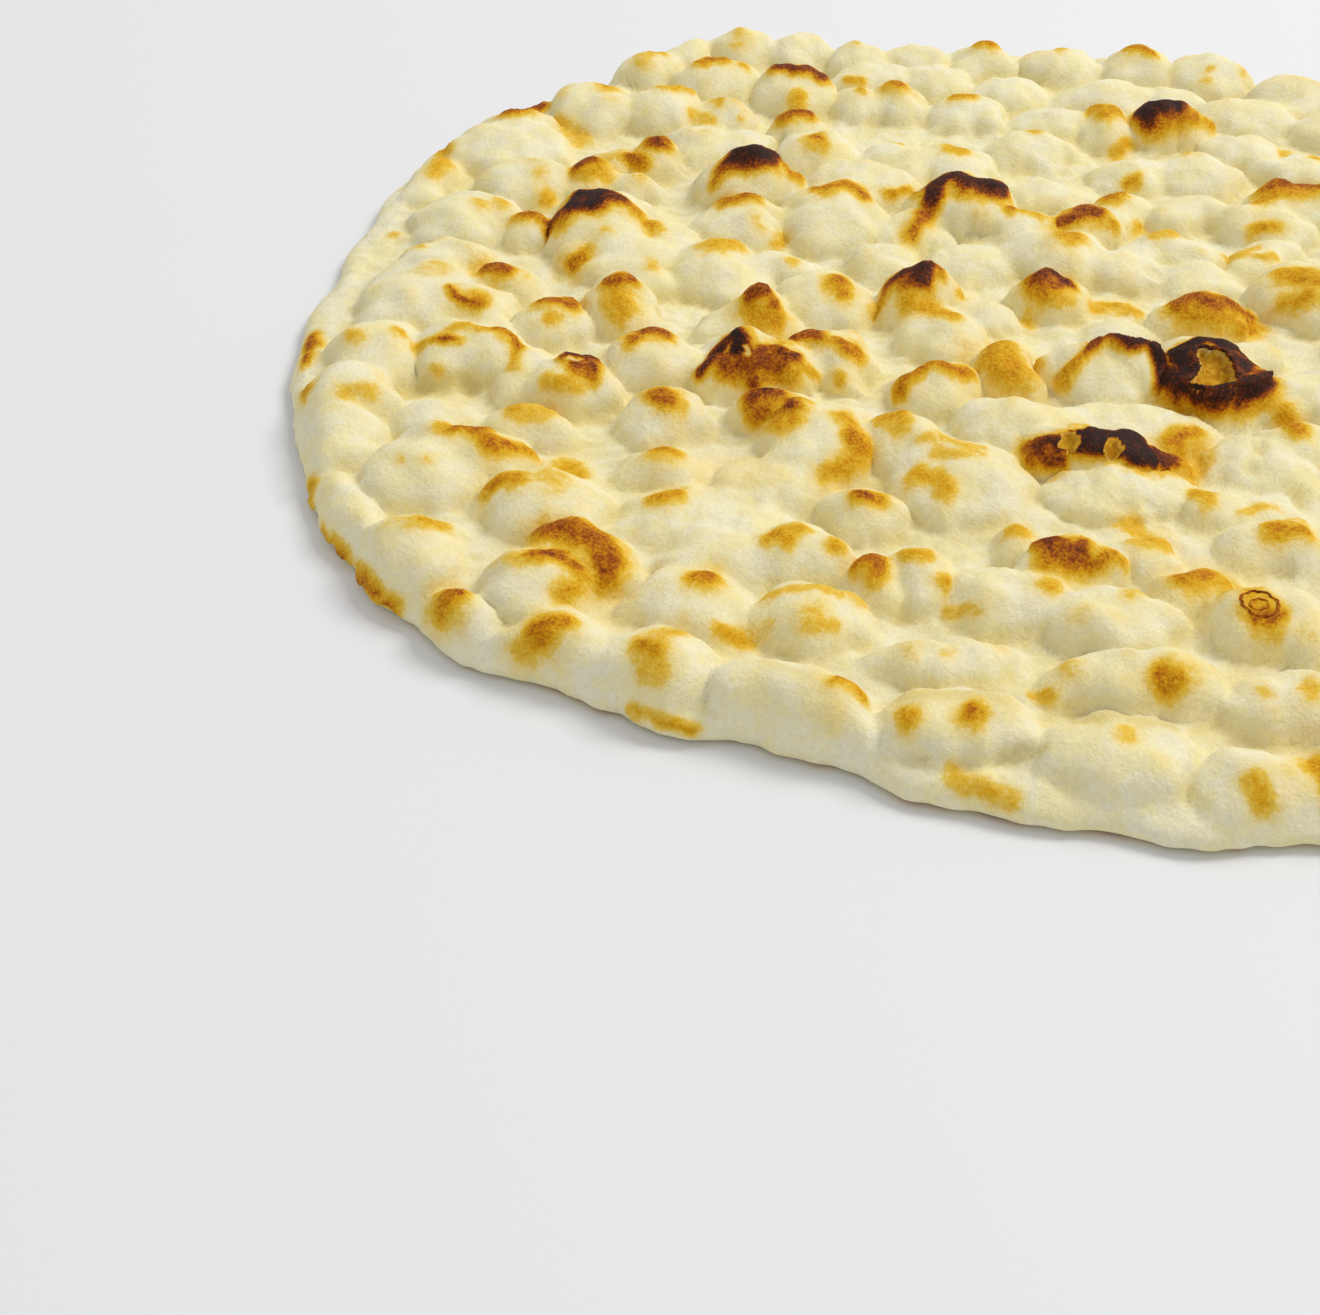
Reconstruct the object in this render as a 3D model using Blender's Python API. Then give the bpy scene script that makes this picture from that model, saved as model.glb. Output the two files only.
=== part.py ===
"""Keema naan: one flat, leavened oven bread, blistered all over, lying on its underside.

The origin is on the surface that the bread lies on, under the middle of its bounding box, and +Z is up.
Places and sizes in the tables are in millimetres, and the mesh is in metres.
"""
import math
import random

import bmesh
import bpy

MM = 0.001

# Outline, seen from above
RADIUS = 169.0            # mean radius of the bread
MIDDLE = (0.0, -4.7)      # middle of the outline in the tables' own frame
# Bulges and hollows of the outline: direction in degrees, half width in degrees, how far it stands out
BULGES = (
    (145, 16, 8.0), (116, 11, 8.0), (86, 15, -5.0), (205, 20, 8.0), (222, 8, 2.5),
    (247, 10, -8.5), (264, 6, -2.5), (277, 10, 2.5), (318, 18, -3.5), (350, 14, 3.0), (28, 16, -3.0),
    (203, 5, -2.5), (181, 5, 1.9), (198, 3, -1.8), (202.5, 3, 1.8), (231, 3.5, -3.2), (227, 2.5, 1.2),
    (239, 5, 0.9),
)
SCALLOP = 0.8             # how far the lip swings in and out between blisters
SCALLOP_COUNT = 41

# Thickness
SHEET = 5.6               # dough left in the furrows between blisters
SHEET_WAVE = 0.7          # slow rise and fall of the sheet
LIP_WIDTH = 6.5           # over this width the top rounds down to the edge
LIP_EDGE = 1.9            # height of the outermost line of the lip
RISE_WIDTH = 11.0         # blisters reach full height this far from the edge
FOOT_INSET = 6.0          # the flat underside starts this far inside the edge

# Blisters
NEAR_POWER = 0.62         # 0.5 is a half ellipsoid, 1 is a paraboloid
FAR_POWER = 0.9           # towards +Y the blisters slope more gently
SKIRT = 0.28              # this share of a blister's height spreads out round it
SKIRT_REACH = 1.7         # times the blister's own size
PEAK_POWER = 0.9          # 1 is a cone
RISE = 0.94               # every blister's height, against the tables
BLEND_POWER = 4.0         # how sharply neighbouring blisters meet
WARP = 1.5                # how far a blister's outline wanders
SPREAD = 1.08             # every blister's outline, against the tables

# Round blisters: x, y, half length along X, half length along Y, height over the sheet
BLISTERS = (
    # along the near edge, from left to right
    (-127, -121, 8, 8, 5), (-108, -129, 12, 10, 7), (-88, -136, 12, 10, 8),
    (-34, -151, 14, 8.5, 8), (-7, -158, 16, 9.5, 7.5), (17, -166, 11, 9, 7), (38, -163, 13, 9, 7),
    (0, -140, 16, 8.5, 10), (30, -145, 14, 9, 8), (-35, -134, 13, 7, 7),
    # second and third rows behind that edge
    (-59, -121, 12, 10, 9), (-82, -116, 13, 10, 7), (-2, -121, 15, 9, 8), (29, -122, 13, 10, 9),
    (16, -112, 9, 7, 6), (-46, -111, 7, 6, 6), (-36, -110, 9, 8, 6), (-7, -105, 10, 8, 9.5),
    (-112, -113, 10, 9, 9), (-104, -104, 12, 10, 10), (-137, -101, 11, 11, 8),
    (-60, -101, 10, 9, 9), (36, -96, 13, 9, 7), (8, -101, 8, 7, 5), (-16, -97, 6, 6, 5),
    # around the lower burst blister
    (-25, -74, 15, 15, 9), (8, -77, 16, 9, 6.5), (-46, -86, 8, 8, 7), (-54, -61, 13, 15, 9.5),
    (40, -66, 12, 11, 6), (50, -57, 8, 6, 6), (30, -81, 12, 8, 4), (12, -55, 18, 7, 3),
    # left side, behind the smooth rim
    (-112, -84, 13, 12, 9), (-137, -73, 13, 12, 9), (-156, -58, 9, 12, 7), (-153, -25, 11, 13, 8),
    (-131, -23, 13, 12, 9), (-137, -52, 10, 7, 6), (-116, -55, 10, 8, 7), (-107, -38, 10, 9, 10),
    (-119, -33, 8, 11, 7), (-88, -71, 10, 8, 6), (-78, -87, 17, 13, 5),
    # middle
    (-90, -27, 11, 11, 9), (-87, -50, 10, 9, 8), (-62, -50, 10, 7, 7), (-50, -27, 11, 12, 10),
    (-26, -39, 10, 10, 9), (-10, -30, 8, 11, 8), (13, -31, 13, 13, 9.5), (36, -31, 13, 14, 10),
    (-145, 0, 15, 16, 9), (-131, -7, 9, 9, 8), (-126, 6, 8, 7, 7), (-113, -12, 9, 9, 8),
    (-98, -3, 9, 11, 9), (-91, 8, 7, 7, 5), (-74, 16, 13, 13, 8), (-58, 20, 8, 8, 5),
    (-49, 3, 12, 12, 8), (-22, -14, 11, 10, 7), (-13, -4, 9, 8, 5), (5, 3, 8, 8, 8),
    (38, -7, 11, 9, 9), (48, -23, 6, 6, 6), (68, 5, 14, 15, 10), (20, -12, 10, 6, 4),
    (62, -38, 13, 11, 6), (70, -62, 12, 11, 7),
    # behind the middle
    (-104, 36, 14, 17, 12.5), (-137, 42, 14, 14, 8), (-121, 35, 6, 7, 7), (-86, 30, 8, 12, 6),
    (-68, 40, 12, 12, 8), (-45, 44, 13, 16, 9), (-11, 48, 13, 14, 12), (18, 38, 9, 9, 9),
    (13, 58, 12, 9, 6), (38, 27, 13, 9, 6), (46, 50, 11, 9, 6), (77, 51, 15, 10, 9),
    (24, 18, 12, 9, 6), (43, 14, 10, 9, 5), (-33, 22, 10, 9, 5), (-10, 22, 12, 9, 5),
    # far rows
    (-129, 84, 17, 14, 8), (-107, 62, 9, 8, 8), (-96, 60, 7, 7, 7), (-90, 75, 7, 7, 8),
    (-100, 74, 8, 7, 6), (-46, 79, 11, 11, 8), (-51, 95, 9, 8, 8), (-77, 88, 11, 10, 6),
    (-66, 87, 9, 9, 5), (-25, 78, 11, 10, 6), (-10, 76, 11, 10, 6), (37, 71, 12, 10, 6),
    (54, 73, 11, 10, 6), (12, 86, 13, 10, 6), (34, 98, 9, 10, 7), (51, 97, 11, 11, 10.5),
    (80, 72, 12, 10, 6), (68, 86, 11, 10, 6), (-127, 96, 9, 7, 7), (-106, 108, 12, 13, 8),
    (-87, 108, 11, 12, 9), (-72, 103, 9, 9, 7), (-72, 128, 12, 12, 9), (-50, 121, 11, 13, 10),
    (-92, 136, 10, 10, 8), (-82, 147, 10, 10, 8), (-65, 152, 10, 10, 11), (-48, 151, 10, 10, 8),
    (-33, 114, 9, 9, 7), (-22, 114, 8, 9, 8), (-4, 108, 11, 10, 6), (-30, 145, 10, 9, 7),
    (-28, 131, 11, 10, 6), (-10, 130, 12, 10, 6), (-14, 144, 10, 9, 7), (5, 142, 10, 10, 8),
    (27, 140, 12, 10, 7), (50, 141, 10, 10, 9), (71, 136, 12, 12, 8), (92, 122, 12, 12, 8),
    (10, 122, 12, 9, 5), (38, 121, 13, 10, 6), (57, 118, 10, 9, 5), (76, 109, 14, 11, 6),
    (20, 103, 11, 9, 5), (98, 98, 13, 11, 7),
)

# Long blisters and ridges, as above with the direction of their length in degrees before the height
RIDGES = (
    (-63, -146, 17, 10, -35, 9), (-128, -66, 13, 8, -25, 9), (-152, -86, 16, 7, -62, 5),
    (-61, -35, 9, 8, 0, 9.5), (4, -66, 18, 7.5, -5, 10), (-27, 2, 13, 9, 65, 11.5),
    (-72, -11, 9, 6, 20, 6), (29, 48, 12, 6, 50, 7), (60, 24, 13, 7, 40, 6), (-65, 60, 13, 11, 0, 13),
    (-148, 66, 15, 6, 78, 5), (48, -42, 16, 7, 10, 6),
)

# Pointed blisters: x, y, half length along X, half length along Y, height over the sheet
PEAKS = ((-69, -30, 17, 13, 13), (-65, -8, 11, 11, 12), (-97, -2, 8, 10, 10))

# The side that has no blister of its own in the tables
FILL_PITCH = 22.0         # distance between a baker's fingertip marks
FILL_CLEAR = 14.5         # a filling blister keeps this far from the middle of the others
FILL_MARGIN = 12.0        # and this far inside the edge
FILL_SEED = 7

# Mesh
GRID_CELLS = 56           # cells along the square in the middle
GRID_SHARE = 0.80         # of the radius, taken by that square
EDGE_RINGS = 8            # rings from there to the edge
EDGE_CROWDING = 1.35      # above 1, the rings lie closer together towards the edge
UNDER_RINGS = ((0.3, 1.1), (1.8, 0.35))  # under the lip: how far inside the edge, and how high

CRUST = (0.80, 0.69, 0.47, 1.0)
CRUST_ROUGHNESS = 0.85


def remove_start_objects():
    for obj in list(bpy.data.objects):
        bpy.data.objects.remove(obj, do_unlink=True)


def edge_radius(angle):
    """Distance from the middle to the edge of the bread in a direction, in mm."""
    radius = RADIUS + SCALLOP * math.sin(SCALLOP_COUNT * angle + 2.0 * math.sin(3.0 * angle))
    for direction, half_width, out in BULGES:
        turn = math.remainder(angle - math.radians(direction), math.tau)
        radius += out * math.exp(-((turn / math.radians(half_width)) ** 2))
    return radius


def edge_distance(x, y):
    """How far inside the edge a place of the tables' frame lies, in mm."""
    dx, dy = x - MIDDLE[0], y - MIDDLE[1]
    return edge_radius(math.atan2(dy, dx)) - math.hypot(dx, dy)


def filling_blisters(taken):
    """Blisters on a staggered, shaken grid wherever none of the others is near."""
    draw = random.Random(FILL_SEED)
    blisters = []
    reach = int((RADIUS + 10.0) / FILL_PITCH) + 1
    for row in range(-reach, reach + 1):
        for column in range(-reach, reach + 1):
            x = (column + 0.5 * (row % 2)) * FILL_PITCH + draw.uniform(-4.0, 4.0)
            y = row * FILL_PITCH * 0.9 + draw.uniform(-4.0, 4.0)
            length, width = draw.uniform(10.0, 15.0), draw.uniform(9.0, 12.0)
            turn, height = draw.uniform(-25.0, 25.0), draw.uniform(5.0, 9.5)
            near = min(math.hypot(x - other[0], y - other[1]) for other in taken + blisters)
            if near > FILL_CLEAR and edge_distance(x, y) > FILL_MARGIN:
                blisters.append((x, y, length, width, turn, height))
    return blisters


def all_blisters():
    blisters = [(x, y, length, width, 0.0, height) for x, y, length, width, height in BLISTERS]
    blisters += RIDGES
    blisters += filling_blisters(blisters)
    return [
        (x, y, length * SPREAD, width * SPREAD, math.cos(math.radians(turn)),
         math.sin(math.radians(turn)), height)
        for x, y, length, width, turn, height in blisters
    ]


def smooth_step(value):
    value = min(max(value, 0.0), 1.0)
    return value * value * (3.0 - 2.0 * value)


def blister_height(x, y, blisters):
    """Height of the joined blisters over the sheet, in mm."""
    wx = x + WARP * math.sin(y / 5.1 + 1.0) * math.cos(x / 7.3)
    wy = y + WARP * math.sin(x / 5.7 + 2.0) * math.cos(y / 6.7)
    total = 0.0
    for cx, cy, length, width, cos_turn, sin_turn, height in blisters:
        dx, dy = wx - cx, wy - cy
        along = (dx * cos_turn + dy * sin_turn) / length
        across = (dy * cos_turn - dx * sin_turn) / width
        outward = along * along + across * across
        if outward < SKIRT_REACH ** 2:
            power = NEAR_POWER + (FAR_POWER - NEAR_POWER) * smooth_step(dy / width)
            dome = (1.0 - SKIRT) * max(1.0 - outward, 0.0) ** power
            skirt = SKIRT * (1.0 - outward / SKIRT_REACH ** 2) ** 2
            total += (RISE * height * (dome + skirt)) ** BLEND_POWER
    for cx, cy, length, width, height in PEAKS:
        slant = max(1.0 - math.hypot((wx - cx) / length, (wy - cy) / width), 0.0)
        total += (height * slant ** PEAK_POWER) ** BLEND_POWER
    return total ** (1.0 / BLEND_POWER)


def top_height(x, y, blisters):
    """Height of the top of the bread over the surface it lies on, in mm."""
    inside = max(edge_distance(x, y), 0.0)
    sheet = SHEET + SHEET_WAVE * math.sin(x / 23.0 + 0.6) * math.cos(y / 19.0 - 0.4)
    lip = min(inside / LIP_WIDTH, 1.0)
    sheet = LIP_EDGE + (sheet - LIP_EDGE) * math.sqrt(1.0 - (1.0 - lip) ** 2)
    rise = min(inside / RISE_WIDTH, 1.0)
    return sheet + blister_height(x, y, blisters) * math.sqrt(1.0 - (1.0 - rise) ** 2)


def square_to_disc(u, v):
    """Radius from 0 to 1 and angle of a point of the square from -1 to 1, its rings kept as circles."""
    if u == 0.0 and v == 0.0:
        return 0.0, 0.0
    if abs(u) > abs(v):
        return abs(u), math.atan2(0.0, u) + math.pi / 4 * v / u
    return abs(v), math.copysign(math.pi / 2, v) - math.pi / 4 * u / v


def extrude_edge(bm):
    """New ring of vertices round the open edge, still in the same place as the old one."""
    border = [edge for edge in bm.edges if edge.is_boundary]
    new = bmesh.ops.extrude_edge_only(bm, edges=border)["geom"]
    return [item for item in new if isinstance(item, bmesh.types.BMVert)]


def build_naan():
    blisters = all_blisters()
    bm = bmesh.new()
    bmesh.ops.create_grid(bm, x_segments=GRID_CELLS, y_segments=GRID_CELLS, size=1.0)

    # Flat disc: the square's rings become circles, and further rings lead out to the edge
    for ring in range(EDGE_RINGS):
        old_share = 1.0 - (1.0 - GRID_SHARE) * (1.0 - ring / EDGE_RINGS) ** EDGE_CROWDING
        share = 1.0 - (1.0 - GRID_SHARE) * (1.0 - (ring + 1) / EDGE_RINGS) ** EDGE_CROWDING
        for vert in extrude_edge(bm):
            vert.co *= share / old_share
    for vert in bm.verts:
        share, angle = square_to_disc(vert.co.x, vert.co.y)
        radius = share * GRID_SHARE * edge_radius(angle)
        x = MIDDLE[0] + radius * math.cos(angle)
        y = MIDDLE[1] + radius * math.sin(angle)
        vert.co = (x, y, top_height(x, y, blisters))

    # Round the lip under and close the flat underside
    below = [*UNDER_RINGS, (FOOT_INSET, 0.0)]
    inset_before = 0.0
    for inset, height in below:
        for vert in extrude_edge(bm):
            dx, dy = vert.co.x - MIDDLE[0], vert.co.y - MIDDLE[1]
            pull = 1.0 - (inset - inset_before) / math.hypot(dx, dy)
            vert.co = (MIDDLE[0] + dx * pull, MIDDLE[1] + dy * pull, height)
        inset_before = inset
    bmesh.ops.edgeloop_fill(bm, edges=[edge for edge in bm.edges if edge.is_boundary])

    bmesh.ops.recalc_face_normals(bm, faces=bm.faces)
    bmesh.ops.triangulate(bm, faces=bm.faces, quad_method="SHORT_EDGE")

    # Middle of the bounding box over the origin, and millimetres to metres
    xs, ys = [vert.co.x for vert in bm.verts], [vert.co.y for vert in bm.verts]
    shift_x, shift_y = (min(xs) + max(xs)) / 2, (min(ys) + max(ys)) / 2
    for vert in bm.verts:
        vert.co = ((vert.co.x - shift_x) * MM, (vert.co.y - shift_y) * MM, vert.co.z * MM)

    mesh = bpy.data.meshes.new("naan")
    bm.to_mesh(mesh)
    bm.free()
    mesh.shade_smooth()
    naan = bpy.data.objects.new("naan", mesh)
    bpy.context.scene.collection.objects.link(naan)
    return naan


def crust_material():
    material = bpy.data.materials.new("crust")
    material.use_nodes = True
    shader = material.node_tree.nodes["Principled BSDF"]
    shader.inputs["Base Color"].default_value = CRUST
    shader.inputs["Roughness"].default_value = CRUST_ROUGHNESS
    shader.inputs["Metallic"].default_value = 0.0
    material.diffuse_color = CRUST
    return material


def main():
    remove_start_objects()
    naan = build_naan()
    naan.data.materials.append(crust_material())
    print("naan triangles:", len(naan.data.polygons))


main()
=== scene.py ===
import math
import random

import bmesh
import bpy
import numpy as np
from mathutils import Matrix, Vector
from mathutils.bvhtree import BVHTree


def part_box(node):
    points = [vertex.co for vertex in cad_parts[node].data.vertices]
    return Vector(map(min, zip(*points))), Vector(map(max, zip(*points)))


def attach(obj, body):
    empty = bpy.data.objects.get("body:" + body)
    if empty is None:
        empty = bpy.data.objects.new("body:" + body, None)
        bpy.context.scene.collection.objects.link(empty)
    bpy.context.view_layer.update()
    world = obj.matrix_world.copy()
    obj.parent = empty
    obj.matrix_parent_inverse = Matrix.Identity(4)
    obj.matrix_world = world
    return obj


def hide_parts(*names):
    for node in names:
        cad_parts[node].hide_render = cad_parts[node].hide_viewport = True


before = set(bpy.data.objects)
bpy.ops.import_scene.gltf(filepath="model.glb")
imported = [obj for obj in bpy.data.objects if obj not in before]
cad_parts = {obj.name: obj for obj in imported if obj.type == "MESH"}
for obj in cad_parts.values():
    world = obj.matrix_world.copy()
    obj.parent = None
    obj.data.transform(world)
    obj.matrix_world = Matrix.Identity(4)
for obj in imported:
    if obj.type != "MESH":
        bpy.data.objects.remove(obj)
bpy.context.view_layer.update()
mm = 0.001

# places and sizes in the tables are in millimetres, round a point near the middle of the bread
naan = {
    "radius": 169.0,
    "middle": (0.0, -4.7),
    "bulges": (  # direction and half width in degrees, how far out
        (145, 16, 8.0), (116, 11, 8.0), (86, 15, -5.0), (205, 20, 8.0), (222, 8, 2.5),
        (247, 10, -8.5), (264, 6, -2.5), (277, 10, 2.5), (318, 18, -3.5), (350, 14, 3.0), (28, 16, -3.0),
        (203, 5, -2.5), (181, 5, 1.9), (198, 3, -1.8), (202.5, 3, 1.8), (231, 3.5, -3.2), (227, 2.5, 1.2),
        (239, 5, 0.9),
    ),
    "scallop": 0.8,  # small waves along the lip
    "scallopCount": 41,
    "scallopDrift": 2.0,  # radians, so that the waves differ in length
    "driftCount": 3,
    "ragged": 0.7,  # finer unevenness of the lip
    "raggedSteps": 40.0,
    "raggedSize": 1.2,
    "sheet": 5.6,  # height of the bread between its blisters
    "sheetWave": 0.7,
    "sheetWaves": (23.0, 19.0),
    "lipWidth": 6.5,
    "lipEdge": 1.9,
    "riseWidth": 11.0,
    "nearPower": 0.62,  # 0.5 is a half ellipsoid, 1 is a paraboloid
    "farPower": 0.90,
    "peakPower": 0.9,  # 1 is a cone
    "blendPower": 5.5,
    "rise": 0.9,  # all blisters, against the tables
    "uneven": 0.14,
    "unevenSize": 10.0,
    "skirt": 0.28,  # this share of a blister's height spreads out round it
    "skirtReach": 1.7,  # times the blister's own size
    "warp": 1.5,  # how far a blister's outline strays from an oval
    "warpWaves": (5.1, 7.3, 5.7, 6.7),
    "fineWarp": 1.9,
    "fineWarpSize": 8.0,
    "spread": 1.08,
    "rounding": 1,  # times that the skin is smoothed
    "roundShare": 0.5,
    "roundFrom": 1.0,  # inside the edge
    "swell": 0.7,  # blisters bulge out over their feet by this much
    "swellRise": (0.5, 4.0),  # from none to all of it over these heights
    "skinFade": 4.0,  # the skin is plain this near to the edge
    "nub": 1.1,  # what stands out gets toasted
    "gridCells": 220,
    "gridShare": 0.72,
    "edgeRings": 38,
    "edgeCrowding": 1.2,
    "finer": ((19, -55, 51, -15), (-12, -84, 24, -54), (-84, -50, -54, -14)),  # here the grid is cut again
    # how far in and how high each ring under the edge lies
    "underRings": ((0.15, 1.4), (0.6, 0.9), (1.4, 0.45), (2.8, 0.15), (5.0, 0.0), (8.0, 0.0)),
}

# round blisters: x, y, half length along X, half length along Y, height over the sheet
blisters = (
    # along the near edge, from left to right
    (-127, -121, 8, 8, 5), (-108, -129, 12, 10, 7), (-88, -136, 12, 10, 8),
    (-34, -151, 14, 8.5, 8), (-7, -158, 16, 9.5, 7.5), (17, -166, 11, 9, 7), (38, -163, 13, 9, 7),
    (0, -140, 16, 8.5, 10), (30, -145, 14, 9, 8), (-35, -134, 13, 7, 7),
    # second and third rows behind that edge
    (-59, -121, 12, 10, 9), (-82, -116, 13, 10, 7), (-2, -121, 15, 9, 8), (29, -122, 13, 10, 9),
    (16, -112, 9, 7, 6), (-46.5, -109, 7, 6.5, 7.5), (-36, -108, 9, 8, 7.5), (-7, -105, 10, 8, 9.5),
    (-112, -113, 10, 9, 9), (-104, -104, 12, 10, 10), (-137, -101, 11, 11, 8),
    (-60, -101, 10, 9, 9), (36, -96, 13, 9, 7), (8, -101, 8, 7, 5), (-16, -97, 6, 6, 5),
    # around the lower burst blister
    (-25, -74, 15, 15, 9), (8, -77, 16, 9, 6.5), (-46, -86, 8, 8, 7), (-54, -61, 13, 15, 9.5),
    (40, -66, 12, 11, 6), (50, -57, 8, 6, 6), (30, -81, 12, 8, 4), (10, -53, 24, 10, 6.5),
    # left side, behind the smooth rim
    (-112, -84, 13, 12, 9), (-137, -73, 13, 12, 9), (-156, -58, 9, 12, 7), (-153, -25, 11, 13, 8),
    (-131, -23, 13, 12, 9), (-137, -52, 10, 7, 6), (-116, -55, 10, 8, 7), (-107, -38, 10, 9, 10),
    (-119, -33, 8, 11, 7), (-88, -71, 10, 8, 6), (-78, -87, 17, 13, 5),
    # middle
    (-90, -27, 11, 11, 9), (-87, -50, 10, 9, 8), (-62, -50, 10, 7, 7), (-50, -27, 11, 12, 10),
    (-26, -39, 10, 10, 9), (-10, -30, 8, 11, 8), (13, -31, 13, 13, 9.5), (36, -31, 13, 14, 10),
    (-145, 0, 15, 16, 9), (-131, -7, 9, 9, 8), (-126, 6, 8, 7, 7), (-113, -12, 9, 9, 8),
    (-98, -3, 9, 11, 9), (-91, 8, 7, 7, 5), (-74, 16, 13, 13, 8), (-58, 20, 8, 8, 5),
    (-49, 3, 12, 12, 8), (-22, -14, 11, 10, 7), (-13, -4, 9, 8, 5), (5, 3, 8, 8, 8),
    (38, -7, 11, 9, 9), (48, -23, 6, 6, 6), (68, 5, 14, 15, 10), (20, -12, 10, 6, 4),
    (62, -38, 13, 11, 6), (70, -62, 12, 11, 7),
    # behind the middle
    (-104, 36, 14, 17, 12.5), (-137, 42, 14, 14, 8), (-121, 35, 6, 7, 7), (-86, 30, 8, 12, 6),
    (-68, 40, 12, 12, 8), (-45, 44, 13, 16, 9), (-11, 48, 13, 14, 12), (18, 38, 9, 9, 9),
    (13, 58, 12, 9, 6), (38, 27, 13, 9, 6), (46, 50, 11, 9, 6), (77, 51, 15, 10, 9),
    (24, 18, 12, 9, 6), (43, 14, 10, 9, 5), (-33, 22, 10, 9, 5), (-10, 22, 12, 9, 5),
    # far rows
    (-129, 84, 17, 14, 8), (-107, 62, 9, 8, 8), (-96, 60, 7, 7, 7), (-90, 75, 7, 7, 8),
    (-100, 74, 8, 7, 6), (-46, 79, 11, 11, 8), (-51, 95, 9, 8, 8), (-77, 88, 11, 10, 6),
    (-66, 87, 9, 9, 5), (-25, 78, 11, 10, 6), (-10, 76, 11, 10, 6), (37, 71, 12, 10, 6),
    (54, 73, 11, 10, 6), (12, 86, 13, 10, 6), (34, 98, 9, 10, 7), (51, 97, 11, 11, 10.5),
    (80, 72, 12, 10, 6), (68, 86, 11, 10, 6), (-127, 96, 9, 7, 7), (-106, 108, 12, 13, 8),
    (-87, 108, 11, 12, 9), (-72, 103, 9, 9, 7), (-72, 128, 12, 12, 9), (-50, 121, 11, 13, 10),
    (-92, 136, 10, 10, 8), (-82, 147, 10, 10, 8), (-65, 152, 10, 10, 11), (-48, 151, 10, 10, 8),
    (-33, 114, 9, 9, 7), (-22, 114, 8, 9, 8), (-4, 108, 11, 10, 6), (-30, 145, 10, 9, 7),
    (-28, 131, 11, 10, 6), (-10, 130, 12, 10, 6), (-14, 144, 10, 9, 7), (5, 142, 10, 10, 8),
    (27, 140, 12, 10, 7), (50, 141, 10, 10, 9), (71, 136, 12, 12, 8), (92, 122, 12, 12, 8),
    (10, 122, 12, 9, 5), (38, 121, 13, 10, 6), (57, 118, 10, 9, 5), (76, 109, 14, 11, 6),
    (20, 103, 11, 9, 5), (98, 98, 13, 11, 7),
)

# long blisters and ridges, with the direction of their length in degrees before the height
ridges = (
    (-63, -146, 17, 10, -35, 9), (-129, -65.5, 13, 8, -22, 10.2), (-152, -86, 16, 7, -62, 5),
    (-60.5, -34, 9, 8, 0, 10.5), (4, -66, 18, 7.5, -5, 10), (-27, 2, 13, 9, 65, 11.5),
    (-72, -11, 9, 6, 20, 6), (29, 48, 12, 6, 50, 7), (60, 24, 13, 7, 40, 6), (-65, 60, 13, 11, 0, 13),
    (-148, 66, 15, 6, 78, 5), (48, -42, 16, 7, 10, 6),
)

# pointed blisters: x, y, half length along X, half length along Y, height over the sheet
peaks = ((-69.5, -30, 13, 13, 13), (-65, -8, 11, 11, 12), (-97, -2, 8, 10, 10))

# blisters on the side that has none in the tables
filling = {
    "seed": 7,
    "pitch": 22.0,
    "rowShare": 0.9,  # rows lie this much of the pitch apart
    "beyond": 10.0,  # the grid starts this far outside the bread
    "shake": 4.0,
    "clear": 14.5,
    "margin": 12.0,
    "length": (10.0, 15.0),
    "width": (9.0, 12.0),
    "turn": (-25.0, 25.0),
    "height": (5.0, 9.5),
}

relief = {  # small lumps and wrinkles of the skin
    "lumps": ((0.75, 9.0, 11), (0.42, 4.6, 12), (0.2, 2.4, 15)),  # height, size, seed
    "wrinkleTop": 5.0,  # wrinkles are deeper below this height of a blister
    "wrinkle": (0.12, 0.4),  # depth all over, and more between the blisters
    "wrinkleSize": 6.5,
    "wrinkleStretch": 1.5,
    "bend": 2.0,
    "bendSize": 9.0,
}


def edgeRadius(angle):  # from the middle to the edge, for one angle or an array of them
    drift = naan["scallopDrift"] * np.sin(naan["driftCount"] * angle)
    radius = naan["radius"] + naan["scallop"] * np.sin(naan["scallopCount"] * angle + drift)
    for direction, halfWidth, out in naan["bulges"]:
        turn = angle - math.radians(direction)
        turn = turn - math.tau * np.round(turn / math.tau)
        radius = radius + out * np.exp(-((turn / math.radians(halfWidth)) ** 2))
    return radius


def edgeDistance(x, y):  # how far inside the edge
    dx, dy = x - naan["middle"][0], y - naan["middle"][1]
    return edgeRadius(np.arctan2(dy, dx)) - np.hypot(dx, dy)


def fillingBlisters(taken):  # staggered, shaken grid wherever no other blister is near
    draw = random.Random(filling["seed"])
    shake, pitch = filling["shake"], filling["pitch"]
    made = []
    reach = int((naan["radius"] + filling["beyond"]) / pitch) + 1
    for row in range(-reach, reach + 1):
        for column in range(-reach, reach + 1):
            x = (column + 0.5 * (row % 2)) * pitch + draw.uniform(-shake, shake)
            y = row * pitch * filling["rowShare"] + draw.uniform(-shake, shake)
            length, width = draw.uniform(*filling["length"]), draw.uniform(*filling["width"])
            turn, height = draw.uniform(*filling["turn"]), draw.uniform(*filling["height"])
            near = min(math.hypot(x - other[0], y - other[1]) for other in taken + made)
            if near > filling["clear"] and edgeDistance(x, y) > filling["margin"]:
                made.append((x, y, length, width, turn, height))
    return made


def smoothStep(low, high, value):
    share = np.clip((value - low) / (high - low), 0.0, 1.0)
    return share * share * (3.0 - 2.0 * share)


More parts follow.
